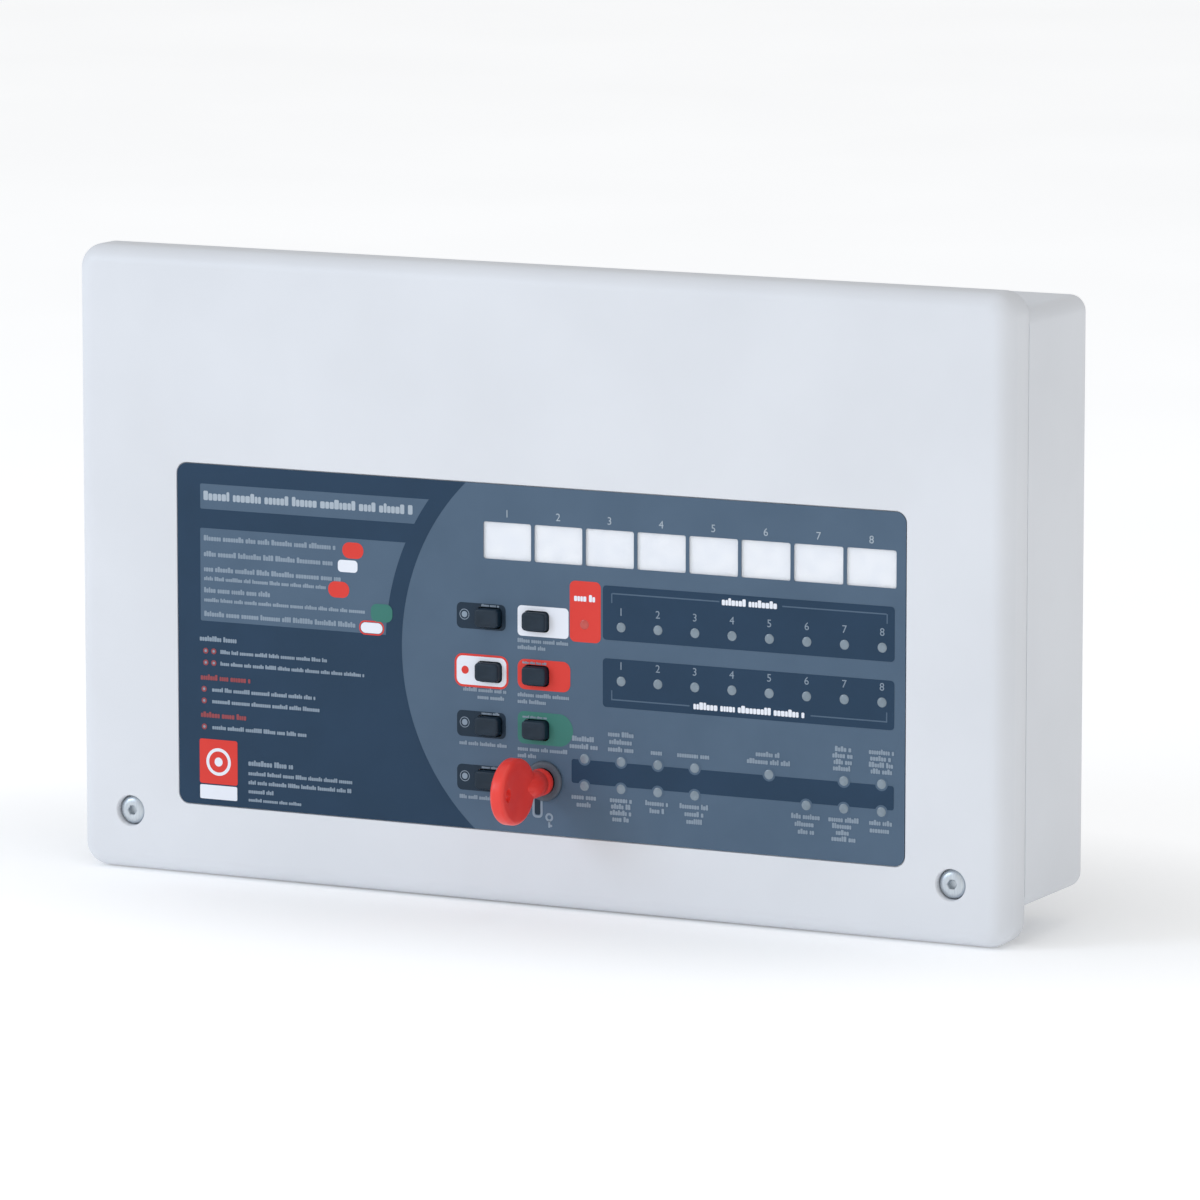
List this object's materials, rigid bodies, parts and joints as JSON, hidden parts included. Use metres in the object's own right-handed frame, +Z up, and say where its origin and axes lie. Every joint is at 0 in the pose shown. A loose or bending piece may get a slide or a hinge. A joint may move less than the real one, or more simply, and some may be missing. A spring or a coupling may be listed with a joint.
{
  "type": "fire alarm control panel",
  "caption": "Wall-mounted fire alarm control panel: white case and hinged lid, navy control label with push keys, indicator lamps and key switch, board, batteries and transformer inside.",
  "frame": {"origin": "point of the flat back face behind the middle of the lid", "axes": "+X to the right, +Y into the wall, +Z up; the lid faces -Y"},
  "size_m": [0.38, 0.1089, 0.235],
  "materials": {
    "white_abs": "moulded ABS, fine matt",
    "navy_label": "printed polycarbonate film, satin",
    "card_paper": "plain white card",
    "red_plastic": "moulded, semi-gloss",
    "bright_steel": "bright nickel plate",
    "zinc_steel": "zinc plated",
    "dark_key": "moulded, matt",
    "led_plastic": "clear tinted epoxy on a spacer",
    "board_laminate": "green solder resist",
    "terminal_green": "moulded nylon",
    "brass": "turned",
    "battery_case": "moulded ABS case",
    "red_wire": "PVC insulation",
    "black_wire": "PVC insulation",
    "copper_winding": "enamelled copper under tape",
    "fuse_glass": "clear tube with plated caps",
    "aluminium_fins": "extruded",
    "capacitor_can": "sleeved can",
    "black_plastic": "moulded, matt"
  },
  "bodies": {
    "casing": {"battery_clamp": "zinc_steel", "battery_fuse": "fuse_glass", "battery_lead_black": "black_wire", "battery_lead_red": "red_wire", "battery_link_lead": "black_wire", "battery_lower": "battery_case", "battery_upper": "black_plastic", "board_screw_1": "zinc_steel", "board_screw_2": "zinc_steel", "board_screw_3": "zinc_steel", "board_screw_4": "zinc_steel", "buzzer": "black_plastic", "clamp_screw": "zinc_steel", "earth_stud": "brass", "fault_led_row": "led_plastic", "fault_relay": "black_plastic", "fire_led_row": "led_plastic", "fire_relay": "black_plastic", "fuse_holder": "black_plastic", "insert_left": "brass", "insert_right": "brass", "main_board": "board_laminate", "mains_terminal": "black_plastic", "power_connector": "black_plastic", "processor": "black_plastic", "rear_box": "white_abs", "regulator_heatsink": "aluminium_fins", "relay_terminals": "terminal_green", "smoothing_capacitor": "capacitor_can", "sounder_terminals": "terminal_green", "status_led_row_lower": "led_plastic", "status_led_row_upper": "led_plastic", "strap_screw_left": "zinc_steel", "strap_screw_right": "zinc_steel", "switch_column_a": "black_plastic", "switch_column_b": "black_plastic", "transformer_core": "zinc_steel", "transformer_mains_lead": "black_wire", "transformer_output_lead": "red_wire", "transformer_strap": "zinc_steel", "transformer_winding": "copper_winding", "zone_terminals": "terminal_green"},
    "lid": {"front_lid": "white_abs", "label_overlay": "navy_label", "zone_card": "card_paper", "lock_body": "black_plastic", "lock_nut": "bright_steel", "switch_contact_block": "black_plastic"},
    "left_screw": {"lid_screw_left": "bright_steel"},
    "right_screw": {"lid_screw_right": "bright_steel"},
    "barrel": {"lock_barrel": "bright_steel"},
    "access_key": {"key_blade": "bright_steel", "key_bow": "red_plastic"},
    "evacuate_key": {"key_evacuate": "dark_key"},
    "delay_key": {"key_delay": "dark_key"},
    "disable_key": {"key_disable": "dark_key"},
    "test_key": {"key_test": "dark_key"},
    "silence_key": {"key_silence": "dark_key"},
    "sounders_key": {"key_sounders": "dark_key"},
    "reset_key": {"key_reset": "dark_key"}
  },
  "joints": [
    {"name": "lid_swing", "type": "hinge", "parent": "casing", "child": "lid", "pos_m": [0, -0.057, 0.112], "axis": [-1, 0, 0], "range_deg": [0, 45]},
    {"name": "left_screw_turn", "type": "hinge", "parent": "lid", "child": "left_screw", "pos_m": [-0.1682, -0.0689, -0.095], "axis": [0, 1, 0], "continuous": true},
    {"name": "right_screw_turn", "type": "hinge", "parent": "lid", "child": "right_screw", "pos_m": [0.1682, -0.0689, -0.095], "axis": [0, 1, 0], "continuous": true},
    {"name": "lock_turn", "type": "hinge", "parent": "lid", "child": "barrel", "pos_m": [0.0058, -0.0715, -0.07], "axis": [0, 1, 0], "range_deg": [0, 90]},
    {"name": "key_withdraw", "type": "slide", "parent": "barrel", "child": "access_key", "axis": [0, -1, 0], "range_m": [0, 0.018]},
    {"name": "evacuate_press", "type": "slide", "parent": "casing", "child": "evacuate_key", "axis": [0, 1, 0], "range_m": [0, 0.001], "stiffness_N_per_m": 1500, "springref_m": -0.0005},
    {"name": "delay_press", "type": "slide", "parent": "casing", "child": "delay_key", "axis": [0, 1, 0], "range_m": [0, 0.001], "stiffness_N_per_m": 1500, "springref_m": -0.0005},
    {"name": "disable_press", "type": "slide", "parent": "casing", "child": "disable_key", "axis": [0, 1, 0], "range_m": [0, 0.001], "stiffness_N_per_m": 1500, "springref_m": -0.0005},
    {"name": "test_press", "type": "slide", "parent": "casing", "child": "test_key", "axis": [0, 1, 0], "range_m": [0, 0.001], "stiffness_N_per_m": 1500, "springref_m": -0.0005},
    {"name": "silence_press", "type": "slide", "parent": "casing", "child": "silence_key", "axis": [0, 1, 0], "range_m": [0, 0.001], "stiffness_N_per_m": 1500, "springref_m": -0.0005},
    {"name": "sounders_press", "type": "slide", "parent": "casing", "child": "sounders_key", "axis": [0, 1, 0], "range_m": [0, 0.001], "stiffness_N_per_m": 1500, "springref_m": -0.0005},
    {"name": "reset_press", "type": "slide", "parent": "casing", "child": "reset_key", "axis": [0, 1, 0], "range_m": [0, 0.001], "stiffness_N_per_m": 1500, "springref_m": -0.0005}
  ]
}
